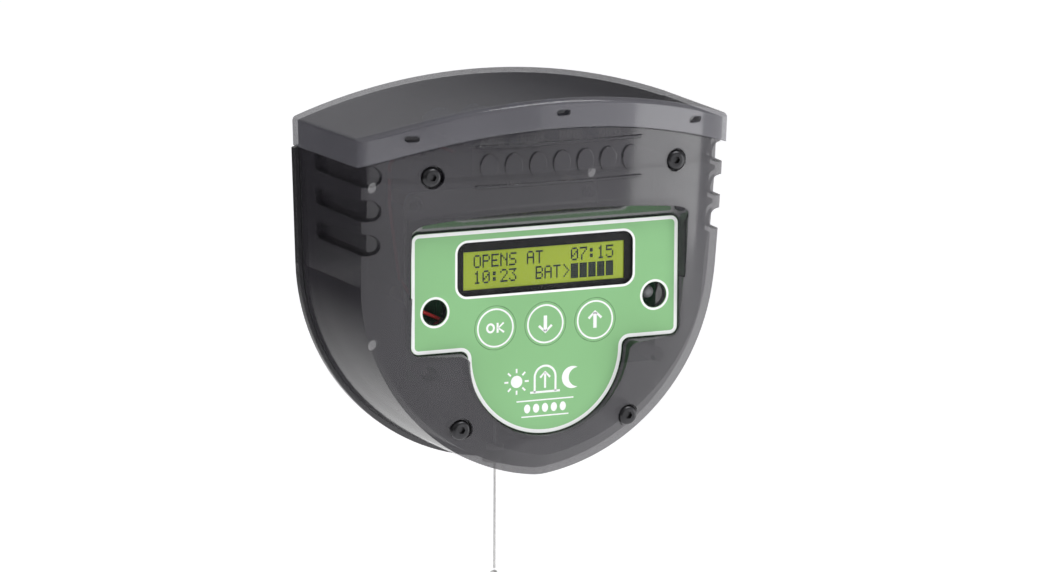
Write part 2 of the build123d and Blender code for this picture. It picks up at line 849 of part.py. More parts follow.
with BuildPart() as key_switches:
    for x in key_places.values():
        with BuildSketch(facing(board_front_depth)):
            with Locations((x, key_z)):
                Rectangle(switch_size, switch_size)
        extrude(amount=switch_height)
        with BuildSketch(facing(board_front_depth + switch_height)):
            with Locations((x, key_z)):
                Circle(switch_stem_radius)
        extrude(amount=switch_stem)
write(key_switches.part, "key_switches")

with BuildPart() as light_sensor:
    sensor_place = [(port_x, port_z)]
    rim_front = board_front_depth + sensor_rim_height
    add(pins(sensor_place, sensor_radius + sensor_rim, board_front_depth, rim_front))
    add(pins(sensor_place, sensor_radius, board_front_depth, board_front_depth + sensor_length))
    fillet(light_sensor.edges().filter_by(GeomType.CIRCLE).sort_by(Axis.Y)[0], sensor_dome)
write(light_sensor.part, "light_sensor")

with BuildPart() as processor:
    with BuildSketch(facing(main_board_depth - processor_height)):
        with Locations((processor_x, processor_z)):
            Rectangle(processor_size, processor_size)
    extrude(amount=processor_height)
write(processor.part, "processor")

with BuildPart() as board_parts:
    for x, z, width, height, deep in board_part_sizes:
        with BuildSketch(facing(main_board_depth - deep)):
            with Locations((x, z)):
                Rectangle(width, height)
        extrude(amount=deep)
write(board_parts.part, "board_parts")

with BuildPart() as board_capacitors:
    add(pins(capacitor_places, capacitor_radius, main_board_depth - capacitor_height, main_board_depth))
write(board_capacitors.part, "board_capacitors")

# Axles, drum and gears
with BuildPart() as drum_axle:
    add(pins([(drum_x, drum_z)], drum_axle_radius, plate_thickness / 2, gearbox_front_depth))
write(drum_axle.part, "drum_axle")

with BuildPart() as idler_axle:
    add(pins([(idler_x, idler_z)], idler_axle_radius, plate_thickness / 2, gearbox_front_depth))
write(idler_axle.part, "idler_axle")

drum_bore = drum_axle_radius + bearing_gap
drum_gear = gear(
    drum_teeth, drum_module, drum_x, drum_z, drum_gear_depth, drum_back_depth, drum_bore, idler_bearing
)
write(drum_gear, "drum_gear")

with BuildPart() as cord_drum:
    add(pins([(drum_x, drum_z)], winding_inner_radius, drum_back_depth, drum_front_depth))
    for near in (drum_back_depth, drum_front_depth - drum_flange):
        add(pins([(drum_x, drum_z)], drum_flange_radius, near, near + drum_flange))
    add(pins([(drum_x, drum_z)], drum_bore, 0, reach), mode=Mode.SUBTRACT)
write(cord_drum.part, "cord_drum")

with BuildPart() as cord_winding:
    near = cord_depth - winding_width / 2
    far = cord_depth + winding_width / 2
    winding_outer_radius = winding_inner_radius + 2 * cord_radius
    add(pins([(drum_x, drum_z)], winding_outer_radius, near, far))
    add(pins([(drum_x, drum_z)], winding_inner_radius, near, far), mode=Mode.SUBTRACT)
write(cord_winding.part, "cord_winding")

idler_bore = idler_axle_radius + bearing_gap
small_gear_space = idler_bearing + 180 + 180 / idler_small_teeth
idler_small = gear(
    idler_small_teeth, drum_module, idler_x, idler_z, drum_gear_depth, idler_gear_depth, idler_bore,
    small_gear_space,
)
write(idler_small, "idler_small_gear")
idler_large = gear(
    idler_large_teeth, motor_module, idler_x, idler_z, idler_gear_depth,
    idler_gear_depth + idler_gear_face, idler_bore, pinion_bearing,
)
write(idler_large, "idler_large_gear")

pinion_depth = idler_gear_depth + (idler_gear_face - pinion_face) / 2
motor_pinion = gear(
    pinion_teeth, motor_module, pinion_x, pinion_z, pinion_depth, pinion_depth + pinion_face,
    motor_shaft_radius, pinion_bearing + 180 + 180 / pinion_teeth,
)
write(motor_pinion, "motor_pinion")

with BuildPart() as motor_shaft:
    add(pins([(pinion_x, pinion_z)], motor_shaft_radius, pinion_depth, gearbox_front_depth))
write(motor_shaft.part, "motor_shaft")

motor_can_depth = gearbox_front_depth + motor_head_length
with BuildPart() as motor_gearhead:
    add(pins([(pinion_x, pinion_z)], motor_radius, gearbox_front_depth, motor_can_depth))
write(motor_gearhead.part, "motor_gearhead")

with BuildPart() as motor_can:
    motor_end_depth = motor_can_depth + motor_can_length
    motor_place = [(pinion_x, pinion_z)]
    can_end_depth = motor_end_depth - motor_cap_height
    add(pins(motor_place, motor_radius - motor_can_step, motor_can_depth, can_end_depth))
    add(pins(motor_place, motor_cap_radius, motor_can_depth, motor_end_depth))
write(motor_can.part, "motor_can")

# Gearbox: a plate on four pillars that carries the axles and the motor
gearbox_middle_x = (gearbox_left_x + gearbox_right_x) / 2
gearbox_middle_z = (gearbox_bottom_z + gearbox_top_z) / 2
gearbox_width = gearbox_right_x - gearbox_left_x
gearbox_height = gearbox_top_z - gearbox_bottom_z
gearbox_corners = [
    (
        gearbox_middle_x + sx * (gearbox_width / 2 - gearbox_pillar_inset),
        gearbox_middle_z + sz * (gearbox_height / 2 - gearbox_pillar_inset),
    )
    for sx in (-1, 1)
    for sz in (-1, 1)
]
gearbox_screw_radius = gearbox_pillar_radius / 2
with BuildPart() as gearbox_plate:
    with BuildSketch(facing(gearbox_depth)):
        with Locations((gearbox_middle_x, gearbox_middle_z)):
            RectangleRounded(gearbox_width, gearbox_height, gearbox_corner)
        for x, z, radius in axles:
            with Locations((x, z)):
                Circle(radius, mode=Mode.SUBTRACT)
        with Locations((pinion_x, pinion_z)):
            Circle(motor_shaft_clearance, mode=Mode.SUBTRACT)
        with Locations(*gearbox_corners):
            Circle(gearbox_screw_radius + screw_gap, mode=Mode.SUBTRACT)
    extrude(amount=gearbox_thickness)
write(gearbox_plate.part, "gearbox_plate")

with BuildPart() as gearbox_pillars:
    add(pins(gearbox_corners, gearbox_pillar_radius, plate_thickness, gearbox_depth))
    bore = gearbox_screw_radius + screw_gap
    bore_depth = gearbox_depth - gearbox_bore_length
    add(pins(gearbox_corners, bore, bore_depth, gearbox_depth), mode=Mode.SUBTRACT)
write(gearbox_pillars.part, "gearbox_pillars")

with BuildPart() as gearbox_screws:
    head_top = gearbox_front_depth + gearbox_screw_head_height
    add(pins(gearbox_corners, gearbox_screw_head, gearbox_front_depth, head_top))
    for x, z in gearbox_corners:
        add(cross_slot(x, z, head_top, -1), mode=Mode.SUBTRACT)
    shank_depth = gearbox_front_depth - gearbox_screw_length
    add(pins(gearbox_corners, gearbox_screw_radius, shank_depth, gearbox_front_depth))
write(gearbox_screws.part, "gearbox_screws")

# Battery tray with four cells side by side, their ends facing the front and the back
cell_z = shelf_top_z + tray_wall + cell_radius + cell_gap
cell_xs = [(n - (cell_count - 1) / 2) * cell_pitch for n in range(cell_count)]
tray_half_width = cell_xs[-1] + cell_radius + cell_gap + tray_wall
bay_length = cell_length + cell_nub_length + spring_length + 2 * contact_thickness + 2 * cell_gap
tray_front_depth = tray_back_depth + bay_length + 2 * tray_wall
bay_near = tray_back_depth + tray_wall
with BuildPart() as battery_tray:
    add(
        slab(
            (-tray_half_width, -tray_front_depth, shelf_top_z),
            (tray_half_width, -tray_back_depth, shelf_top_z + tray_height),
        )
    )
    trough = cell_radius + cell_gap
    places = [(x, cell_z) for x in cell_xs]
    add(pins(places, trough, bay_near, bay_near + bay_length), mode=Mode.SUBTRACT)
write(battery_tray.part, "battery_tray")

with BuildPart() as battery_cells:
    for n, x in enumerate(cell_xs):
        spring_first = n % 2 == 0
        low = bay_near + contact_thickness + cell_gap + (spring_length if spring_first else cell_nub_length)
        add(pins([(x, cell_z)], cell_radius, low, low + cell_length))
        nub = low + cell_length if spring_first else low - cell_nub_length
        add(pins([(x, cell_z)], cell_nub_radius, nub, nub + cell_nub_length))
write(battery_cells.part, "battery_cells")

contact_size = 2 * (cell_radius - contact_margin)
with BuildPart() as battery_contacts:
    for x in cell_xs:
        for near in (bay_near, bay_near + bay_length - contact_thickness):
            with BuildSketch(facing(near)):
                with Locations((x, cell_z)):
                    Rectangle(contact_size, contact_size)
            extrude(amount=contact_thickness)
write(battery_contacts.part, "battery_contacts")

with BuildPart() as battery_springs:
    for n, x in enumerate(cell_xs):
        spring_first = n % 2 == 0
        near = bay_near + contact_thickness
        if not spring_first:
            near = bay_near + bay_length - contact_thickness - spring_length
        add(pins([(x, cell_z)], spring_radius, near + cell_gap / 2, near + spring_length - cell_gap / 2))
write(battery_springs.part, "battery_springs")

# Battery leads from the tray down to a plug on the main board
for name, back in (("red_lead", 0.0), ("black_lead", lead_spacing)):
    start = (-tray_half_width, back - lead_places[0][1], lead_start_z)
    bends = [(x, back - depth, z) for x, depth, z in lead_places]
    end = (lead_places[-1][0], back - lead_places[-1][1], plug_top_z)
    with BuildPart() as lead:
        with BuildLine():
            route = FilletPolyline(start, *bends, end, radius=lead_bend)
        with BuildSketch(Plane(origin=route @ 0, z_dir=route % 0)):
            Circle(lead_radius)
        sweep()
        add(slab((-tray_half_width, -reach, -wide), (0, 0, sky)), mode=Mode.SUBTRACT)
        add(slab((-wide, -reach, -wide), (wide, 0, plug_top_z)), mode=Mode.SUBTRACT)
    write(lead.part, name)

with BuildPart() as lead_plug:
    with BuildSketch(facing(board_front_depth)):
        with Locations((lead_places[-1][0], plug_top_z - plug_height / 2)):
            Rectangle(plug_width, plug_height)
    extrude(amount=plug_length)
write(lead_plug.part, "lead_plug")

# Cord: a guide bush in the tip, the run inside, the free run below and the ring on its end
guide_bottom_z = tip_outer_z - guide_seat_gap - guide_flange
guide_top_z = tip_outer_z + case_wall + guide_reach
with BuildPart() as cord_guide:
    with BuildSketch(Plane.XY.offset(guide_bottom_z)):
        with Locations((0, -cord_depth)):
            Circle(guide_flange_radius)
    extrude(amount=guide_flange)
    with BuildSketch(Plane.XY.offset(guide_bottom_z)):
        with Locations((0, -cord_depth)):
            Circle(guide_radius - screw_gap)
    extrude(amount=guide_top_z - guide_bottom_z)
    with BuildSketch(Plane.XY.offset(guide_bottom_z)):
        with Locations((0, -cord_depth)):
            Circle(guide_bore_radius)
    extrude(amount=guide_top_z - guide_bottom_z, mode=Mode.SUBTRACT)
write(cord_guide.part, "cord_guide")

cord_inner_top_z = drum_z - cord_inner_start_drop
with BuildPart() as cord_inner:
    with BuildSketch(Plane.XY.offset(guide_bottom_z)):
        with Locations((0, -cord_depth)):
            Circle(cord_radius)
    extrude(amount=cord_inner_top_z - guide_bottom_z)
write(cord_inner.part, "cord_inner")

cord_end_z = guide_bottom_z - cord_drop_length
with BuildPart() as cord:
    with BuildSketch(Plane.XY.offset(cord_end_z)):
        with Locations((0, -cord_depth)):
            Circle(cord_radius)
    extrude(amount=cord_drop_length)
write(cord.part, "cord")

knot_flat = sqrt(knot_radius**2 - cord_radius**2)
knot_z = cord_end_z - knot_flat
with BuildPart() as cord_knot:
    with Locations((0, -cord_depth, knot_z)):
        Sphere(knot_radius)
    with Locations((0, -cord_depth, cord_end_z + knot_radius)):
        Box(4 * knot_radius, 4 * knot_radius, 2 * knot_radius, mode=Mode.SUBTRACT)
write(cord_knot.part, "cord_knot")

ring_z = knot_z - knot_radius - ring_radius - ring_wire_radius
with BuildPart() as cord_ring:
    with BuildSketch(Plane.XY.offset(ring_z)):
        with Locations((ring_radius, -cord_depth)):
            Circle(ring_wire_radius)
    revolve(axis=Axis((0, -cord_depth, ring_z), (0, 1, 0)))
write(cord_ring.part, "cord_ring")
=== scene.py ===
import bpy
import numpy as np
from mathutils import Matrix, Vector


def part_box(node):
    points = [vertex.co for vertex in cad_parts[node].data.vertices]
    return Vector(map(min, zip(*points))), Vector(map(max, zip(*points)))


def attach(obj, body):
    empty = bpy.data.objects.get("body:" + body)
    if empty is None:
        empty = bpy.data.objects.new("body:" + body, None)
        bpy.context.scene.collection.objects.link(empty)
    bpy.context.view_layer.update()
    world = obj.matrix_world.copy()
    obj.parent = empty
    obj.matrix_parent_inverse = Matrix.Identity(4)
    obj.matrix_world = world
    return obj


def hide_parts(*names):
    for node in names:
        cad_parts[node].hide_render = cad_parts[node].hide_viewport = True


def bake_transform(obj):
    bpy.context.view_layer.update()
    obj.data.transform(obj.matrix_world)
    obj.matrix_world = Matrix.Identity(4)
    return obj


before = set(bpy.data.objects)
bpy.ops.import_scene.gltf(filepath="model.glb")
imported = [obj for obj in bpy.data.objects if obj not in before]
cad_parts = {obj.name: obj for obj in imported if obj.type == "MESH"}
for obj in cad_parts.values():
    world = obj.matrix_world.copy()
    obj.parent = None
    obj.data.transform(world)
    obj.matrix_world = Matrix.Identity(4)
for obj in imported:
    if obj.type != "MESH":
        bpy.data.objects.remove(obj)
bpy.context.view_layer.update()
MM = 0.001

# Camera
# Stands to the left of the opener and a little above it, on a long lens.
turned, raised, rolled = np.radians([23.6176, 11.3099, 0.2358])
ahead = np.array([np.sin(turned) * np.cos(raised), np.cos(turned) * np.cos(raised), -np.sin(raised)])
level = np.array([np.cos(turned), -np.sin(turned), 0.0])
over = np.cross(level, ahead)
right = np.cos(rolled) * level + np.sin(rolled) * over
up = -np.sin(rolled) * level + np.cos(rolled) * over
stand = -(np.stack([right, up, ahead]).T @ np.array([-12.6708, -4.8546, 2260.118])) - (0, 10.5, 14.0)
lens = bpy.data.cameras.new("camera")
lens.lens = 6003.15 / 1051 * 36
lens.sensor_width = 36
lens.clip_end = 50
camera = bpy.data.objects.new("camera", lens)
camera.matrix_world = Matrix([[*row, place] for row, place in zip(
    np.stack([right, up, -ahead]).T.tolist(), (stand * MM).tolist())] + [[0, 0, 0, 1]])
bpy.context.collection.objects.link(camera)
bpy.context.scene.camera = camera
bpy.context.scene.view_settings.view_transform = "Standard"

# Lift cord
# A thin three-strand nylon cord. It comes out of the guide bush in the tip and hangs taut, with the
# winding drum at its upper end and a knot and a steel ring at its lower end.
cord_y, mouth_z, cord_end_z = -13.7, -75.587, -117.587


def smooth_route(name, points, closed=False):
    """Points along a smooth line drawn through control points, read from a curve of order 3."""
    curve = bpy.data.curves.new(name, "CURVE")
    curve.dimensions = "3D"
    curve.resolution_u = 24
    spline = curve.splines.new("NURBS")
    spline.points.add(len(points) - 1)
    spline.points.foreach_set("co", np.c_[np.array(points) * MM, np.ones(len(points))].ravel())
    spline.order_u = 3
    spline.use_endpoint_u = not closed
    spline.use_cyclic_u = closed
    holder = bpy.data.objects.new(name, curve)
    line = bpy.data.meshes.new_from_object(holder)
    found = np.empty(len(line.vertices) * 3)
    line.vertices.foreach_get("co", found)
    bpy.data.objects.remove(holder)
    bpy.data.curves.remove(curve)
    bpy.data.meshes.remove(line)
    return found.reshape(-1, 3)


def evenly(path, count):
    """The same line cut into steps of equal length."""
    run = np.r_[0, np.cumsum(np.linalg.norm(np.diff(path, axis=0), axis=1))]
    at = np.linspace(0, run[-1], count)
    return np.stack([np.interp(at, run, path[:, k]) for k in range(3)], axis=1)


def grid_mesh(name, points, around=True, along=False):
    """A mesh from a grid of points, rows by columns, joined round its columns and perhaps its rows.
    Open ends are closed with one flat face each."""
    rows, columns = points.shape[:2]
    i, j = np.meshgrid(np.arange(rows if along else rows - 1), np.arange(columns), indexing="ij")
    a, b = i * columns + j, i * columns + (j + 1) % columns
    c, d = (i + 1) % rows * columns + (j + 1) % columns, (i + 1) % rows * columns + j
    faces = np.stack([a, b, c, d], axis=-1).reshape(-1, 4).tolist()
    if not along:
        faces += [list(range(columns))[::-1], list(range((rows - 1) * columns, rows * columns))]
    mesh = bpy.data.meshes.new(name)
    mesh.from_pydata(points.reshape(-1, 3).tolist(), [], faces)
    mesh.validate()
    piece = bpy.data.objects.new(name, mesh)
    bpy.context.collection.objects.link(piece)
    bpy.context.view_layer.objects.active = piece
    piece.select_set(True)
    bpy.ops.object.mode_set(mode="EDIT")
    bpy.ops.mesh.select_all(action="SELECT")
    bpy.ops.mesh.normals_make_consistent(inside=False)
    bpy.ops.object.mode_set(mode="OBJECT")
    piece.select_set(False)
    return piece


def laid_tube(name, path, radius, strands=3, lay=3.2, sides=24, closed=False):
    """A tube round a path whose radius swells once for each strand, and whose strands turn once in
    each lay length: radius times 0.9 plus 0.1 of the cosine of strands times the turned bearing."""
    ahead_ = np.gradient(path, axis=0) if not closed else np.roll(path, -1, 0) - np.roll(path, 1, 0)
    ahead_ /= np.linalg.norm(ahead_, axis=1)[:, None]
    aside = np.cross(ahead_, np.array([0.31, 0.87, 0.38]))
    aside /= np.linalg.norm(aside, axis=1)[:, None]
    out = np.cross(ahead_, aside)
    run = np.r_[0, np.cumsum(np.linalg.norm(np.diff(path, axis=0), axis=1))]
    bearing = np.linspace(0, 2 * np.pi, sides, endpoint=False)
    swell = 0.9 + 0.1 * np.cos(strands * (bearing[None, :] - 2 * np.pi * run[:, None] / (lay * MM)))
    ring = np.cos(bearing)[None, :, None] * aside[:, None] + np.sin(bearing)[None, :, None] * out[:, None]
    points = path[:, None] + radius * MM * swell[..., None] * ring
    piece = grid_mesh(name, points, along=closed)
    piece.data.shade_smooth()
    return piece


def surface(name, colour, other, roughness, patch=12.0, grain=0.25, bump=0.02, stretch=(1, 1, 1),
            **sockets):
    """A finish with slow colour drift between two colours over patches of a size in millimetres, and a
    fine grain of another size that also roughens it. Everything else sits on the shader itself."""
    made = bpy.data.materials.new(name)
    made.use_nodes = True
    nodes, links = made.node_tree.nodes, made.node_tree.links
    shader = nodes["Principled BSDF"]
    place = nodes.new("ShaderNodeTexCoord")
    turn = nodes.new("ShaderNodeMapping")
    turn.inputs["Scale"].default_value = stretch
    links.new(place.outputs["Object"], turn.inputs["Vector"])
    drift = nodes.new("ShaderNodeTexNoise")
    drift.inputs["Scale"].default_value = 1000 / patch
    drift.inputs["Detail"].default_value = 3
    fine = nodes.new("ShaderNodeTexNoise")
    fine.inputs["Scale"].default_value = 1000 / grain
    fine.inputs["Detail"].default_value = 2
    for noise in (drift, fine):
        links.new(turn.outputs["Vector"], noise.inputs["Vector"])
    ramp = nodes.new("ShaderNodeValToRGB")
    ramp.color_ramp.elements[0].position, ramp.color_ramp.elements[1].position = 0.35, 0.68
    ramp.color_ramp.elements[0].color, ramp.color_ramp.elements[1].color = (*colour, 1), (*other, 1)
    links.new(drift.outputs["Fac"], ramp.inputs["Fac"])
    links.new(ramp.outputs["Color"], shader.inputs["Base Color"])
    rough = nodes.new("ShaderNodeMapRange")
    rough.inputs["To Min"].default_value, rough.inputs["To Max"].default_value = roughness
    links.new(fine.outputs["Fac"], rough.inputs["Value"])
    links.new(rough.outputs["Result"], shader.inputs["Roughness"])
    height = nodes.new("ShaderNodeBump")
    height.inputs["Strength"].default_value = 0.5
    height.inputs["Distance"].default_value = bump * MM
    links.new(fine.outputs["Fac"], height.inputs["Height"])
    links.new(height.outputs["Normal"], shader.inputs["Normal"])
    for socket, value in sockets.items():
        shader.inputs[socket.replace("_", " ")].default_value = value
    return made


def dress(material, *names):
    """Gives a material to pieces or to nodes of the frame, in every slot they have."""
    for name in names:
        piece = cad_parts[name] if isinstance(name, str) else name
        if not piece.data.materials:
            piece.data.materials.append(material)
        for n in range(len(piece.data.materials)):
            piece.data.materials[n] = material


nylon = surface(
    "nylon_cord", (0.56, 0.56, 0.55), (0.68, 0.68, 0.66), (0.55, 0.8), patch=2, grain=0.12, bump=0.05)
cord_points = [(0, cord_y, z) for z in (mouth_z, mouth_z - 14, mouth_z - 28, cord_end_z)]
cord_line = evenly(smooth_route("cord_line", cord_points), 140)
lift_cord = laid_tube("lift_cord", cord_line, 0.5)
dress(nylon, lift_cord)
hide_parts("cord")
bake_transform(lift_cord)

# Knot and ring
# The cord's end is tied in a tight overhand knot, over a welded ring of bright steel wire.
turns = np.linspace(0, 2 * np.pi, 97)[:-1]
knot_middle = np.array([0, cord_y, (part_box("cord_knot")[0][2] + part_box("cord_knot")[1][2]) / 2 / MM])
trefoil = np.stack([np.sin(turns) + 2 * np.sin(2 * turns), np.cos(turns) - 2 * np.cos(2 * turns),
                    -1.2 * np.sin(3 * turns)], axis=1) * 0.37 + knot_middle
end_knot = laid_tube("end_knot", trefoil * MM, 0.5, closed=True, sides=18)
dress(nylon, end_knot)
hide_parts("cord_knot")
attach(end_knot, "cord_end")
steel = surface(
    "bright_steel", (0.55, 0.55, 0.56), (0.68, 0.68, 0.68), (0.2, 0.34), patch=5, grain=0.3, bump=0.006,
    stretch=(1, 1, 0.2), Metallic=1.0)
dress(steel, "cord_ring")
dress(nylon, "cord_inner", "cord_winding")

# Guide bush
# A turned white acetal bush pressed up into the tip, so that the cord does not chafe on the case.
acetal = surface("white_acetal", (0.74, 0.74, 0.71), (0.8, 0.8, 0.77), (0.35, 0.5), patch=9, bump=0.008)
dress(acetal, "cord_guide")

# Front case
# An injection-moulded shell of smoked clear polycarbonate, glossy outside, with softly broken edges.


def smoked(name, colour, other, see_through, roughness, edge):
    """Tinted clear plastic: the shared finish, see-through by its alpha, with its edges rounded off
    by a bevel in the shading of a size in millimetres."""
    made = surface(name, colour, other, roughness, patch=60, grain=5.0, bump=0.001, Alpha=1 - see_through,
                   Coat_Weight=0.6, Coat_Roughness=0.09)
    nodes, links = made.node_tree.nodes, made.node_tree.links
    rounding = nodes.new("ShaderNodeBevel")
    rounding.samples = 12
    rounding.inputs["Radius"].default_value = edge * MM
    links.new(rounding.outputs["Normal"], nodes["Bump"].inputs["Normal"])
    return made


case_plastic = smoked("smoked_plastic", (0.026, 0.024, 0.03), (0.042, 0.039, 0.048), 0.36, (0.1, 0.14), 0.5)
dress(case_plastic, "front_case")

# Rain hood
# A lift-off cap in the same plastic, moulded thinner and so paler, over the battery bay.
hood_plastic = smoked("pale_smoke", (0.13, 0.128, 0.145), (0.165, 0.162, 0.182), 0.42, (0.09, 0.13), 0.7)
dress(hood_plastic, "rain_hood")

# Back plate and seal
# A plate moulded in darker smoked plastic, screwed to the wall, with a soft black rubber strip
# between it and the case. The battery tray and the key switches are plain black mouldings.
plate_plastic = smoked("plate_smoke", (0.016, 0.015, 0.018), (0.028, 0.027, 0.032), 0.06, (0.12, 0.18), 0.6)
dress(plate_plastic, "back_plate")
black_moulding = surface(
    "black_moulding", (0.012, 0.012, 0.013), (0.02, 0.02, 0.021), (0.38, 0.55), patch=20, grain=0.6)
dress(black_moulding, "battery_tray", "key_switches")
rubber = surface("seal_rubber", (0.01, 0.01, 0.01), (0.018, 0.018, 0.018), (0.7, 0.9), patch=8, bump=0.03)
dress(rubber, "case_seal")

# Case screws
# Four black-oxide button-head screws with hexagon sockets, sunk in the case's counterbores. The
# oxide is thin, so the steel under it still shows as a dull gloss.
black_oxide = surface(
    "black_oxide", (0.022, 0.022, 0.024), (0.04, 0.04, 0.043), (0.22, 0.36), patch=2.5, grain=0.2,
    bump=0.01, Metallic=0.75, Coat_Weight=0.3)
dress(black_oxide, "case_screws")

# Front label
# A green printed polyester film with a white edge, white rings and marks, stuck in the case's pocket.
label_green = surface(
    "label_green", (0.213, 0.455, 0.195), (0.233, 0.495, 0.218), (0.3, 0.42), patch=45, grain=0.35, bump=0.006)
dress(label_green, "label_panel", "ok_key", "down_key", "up_key")
white_ink = surface(
    "white_ink", (0.84, 0.85, 0.84), (0.88, 0.89, 0.88), (0.35, 0.5), patch=6, grain=0.2, bump=0.004)
label_front, ink = 60.5, 0.03


def arc(centre, radius, first, last, count=24):
    """Points on part of a circle, by bearing in degrees."""
    bearing = np.radians(np.linspace(first, last, count))
    return np.array(centre) + radius * np.stack([np.cos(bearing), np.sin(bearing)], axis=1)


def stroke(path, width, closed=False):
    """A band of even width along a flat path, as its two edges: each point moved half the width to
    either side, square to the path's direction there."""
    path = np.asarray(path, float)
    if closed:
        along = np.roll(path, -1, 0) - np.roll(path, 1, 0)
    else:
        along = np.gradient(path, axis=0)
    along /= np.linalg.norm(along, axis=1)[:, None]
    side = np.stack([-along[:, 1], along[:, 0]], axis=1) * width / 2
    return path + side, path - side, closed


def printed(name, marks, material, front=label_front, thick=ink):
    """One mesh of thin flat marks on a plane parallel to the wall. A mark is a stroke, or an outline
    that is filled; each becomes a closed slab as thick as the ink."""
    points, faces = [], []
    for mark in marks:
        base = sum(len(block) for block in points)
        if isinstance(mark, tuple):
            one, two, closed = mark
            n = len(one)
            flat = np.concatenate([one, two, one, two])
            low = np.r_[np.full(2 * n, front), np.full(2 * n, front + thick)]
            i = np.arange(n if closed else n - 1)
            j = (i + 1) % n
            for p, q in ((0, n), (n, 3 * n), (3 * n, 2 * n), (2 * n, 0)):
                faces += (np.stack([p + i, p + j, q + j, q + i], axis=1) + base).tolist()
            if not closed:
                faces += [[base, base + n, base + 3 * n, base + 2 * n],
                          [base + n - 1, base + 3 * n - 1, base + 4 * n - 1, base + 2 * n - 1]]
        else:
            n = len(mark)
            flat = np.concatenate([mark, mark])
            low = np.r_[np.full(n, front), np.full(n, front + thick)]
            i = np.arange(n)
            j = (i + 1) % n
            faces += (np.stack([i, j, n + j, n + i], axis=1) + base).tolist()
            faces += [(base + i).tolist(), (base + n + i)[::-1].tolist()]
        points.append(np.stack([flat[:, 0], -low, flat[:, 1]], axis=1) * MM)
    mesh = bpy.data.meshes.new(name)
    mesh.from_pydata(np.concatenate(points).tolist(), [], faces)
    piece = bpy.data.objects.new(name, mesh)
    bpy.context.collection.objects.link(piece)
    bpy.context.view_layer.objects.active = piece
    piece.select_set(True)
    bpy.ops.object.mode_set(mode="EDIT")
    bpy.ops.mesh.select_all(action="SELECT")
    bpy.ops.mesh.normals_make_consistent(inside=False)
    bpy.ops.object.mode_set(mode="OBJECT")
    piece.select_set(False)
    dress(material, piece)
    return piece


def label_edge(inset):
    """The label's outline moved inwards: a wide rectangle with a round lobe under it, all its corners
    rounded, drawn down its right half and mirrored."""
    half, top, bottom, corner = 53.6 - inset, 23.1 - inset, -21.8 + inset, 3.0 - inset
    lobe_z, lobe, inner = -24.2, 31.0 - inset, 3.0 + inset
    turn_z = bottom - inner
    turn_x = np.sqrt((lobe + inner) ** 2 - (turn_z - lobe_z) ** 2)
    tilt = np.degrees(np.arctan2(turn_z - lobe_z, turn_x))
    half_line = np.concatenate([
        arc((0, lobe_z), lobe, -90, tilt, 40), arc((turn_x, turn_z), inner, 180 + tilt, 90, 10),
        arc((half - corner, bottom + corner), corner, -90, 0, 10),
        arc((half - corner, top - corner), corner, 0, 90, 10)])
    return np.concatenate([half_line, (half_line * (-1, 1))[::-1][:-1]])


def rounded_box(x, z, half_x, half_z, corner):
    """The outline of a rectangle with rounded corners."""
    return np.concatenate([
        arc((x + sx * (half_x - corner), z + sz * (half_z - corner)), corner, turn, turn + 90, 10)
        for sx, sz, turn in ((1, 1, 0), (-1, 1, 90), (-1, -1, 180), (1, -1, 270))])


def line(start, end, count=8):
    """Evenly spaced points from one place to another."""
    return np.linspace(start, end, count)


window_z, port_x, port_z = 8.6, 44.2, -6.4
sun_x, icon_z = -11.5, -35.0
ray_start, ray_end, line_width = 3.3, 4.9, 0.8
sun_rays = [
    stroke(line((sun_x + ray_start * np.cos(b), icon_z + ray_start * np.sin(b)),
                (sun_x + ray_end * np.cos(b), icon_z + ray_end * np.sin(b)), 2), 0.7)
    for b in np.radians(np.arange(0, 360, 45))]
moon = np.concatenate([arc((11.0, icon_z), 4.2, 60, 300, 30), arc((13.2, icon_z), 3.64, 272, 88, 24)])
doorway = np.concatenate([
    line((-4.2, icon_z - 4.6), (-4.2, icon_z + 1), 4), arc((0, icon_z + 1), 4.2, 180, 0, 20)[1:],
    line((4.2, icon_z + 1), (4.2, icon_z - 4.6), 4)[1:]])
eggs = [arc((0, 0), 1, 0, 360, 25)[:-1] * (1.25, 1.7) + (x, -45.6) for x in (-7.2, -3.6, 0, 3.6, 7.2)]
label_marks = printed("label_marks", [
    stroke(label_edge(0.75), 1.3, closed=True),
    stroke(rounded_box(0, window_z, 35.75, 10.5, 4.5), 0.9, closed=True),
    stroke(arc((-port_x, port_z), 5.4, 0, 360, 49)[:-1], 0.85, closed=True),
    stroke(arc((port_x, port_z), 5.4, 0, 360, 49)[:-1], 0.85, closed=True),
    arc((sun_x, icon_z), 2.3, 0, 360, 33)[:-1], *sun_rays, moon,
    stroke(doorway, line_width), stroke(line((-6, icon_z - 4.6), (6, icon_z - 4.6), 2), line_width),
    stroke(line((0, icon_z - 3.2), (0, icon_z + 2.6), 2), line_width),
    stroke([(-2.0, icon_z + 0.8), (0, icon_z + 2.9), (2.0, icon_z + 0.8)], line_width),
    stroke(line((-11.5, -42.6), (11.5, -42.6), 2), 0.5),
    stroke(line((-9.5, -48.6), (9.5, -48.6), 2), 0.5), *eggs,
], white_ink)
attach(label_marks, "case")

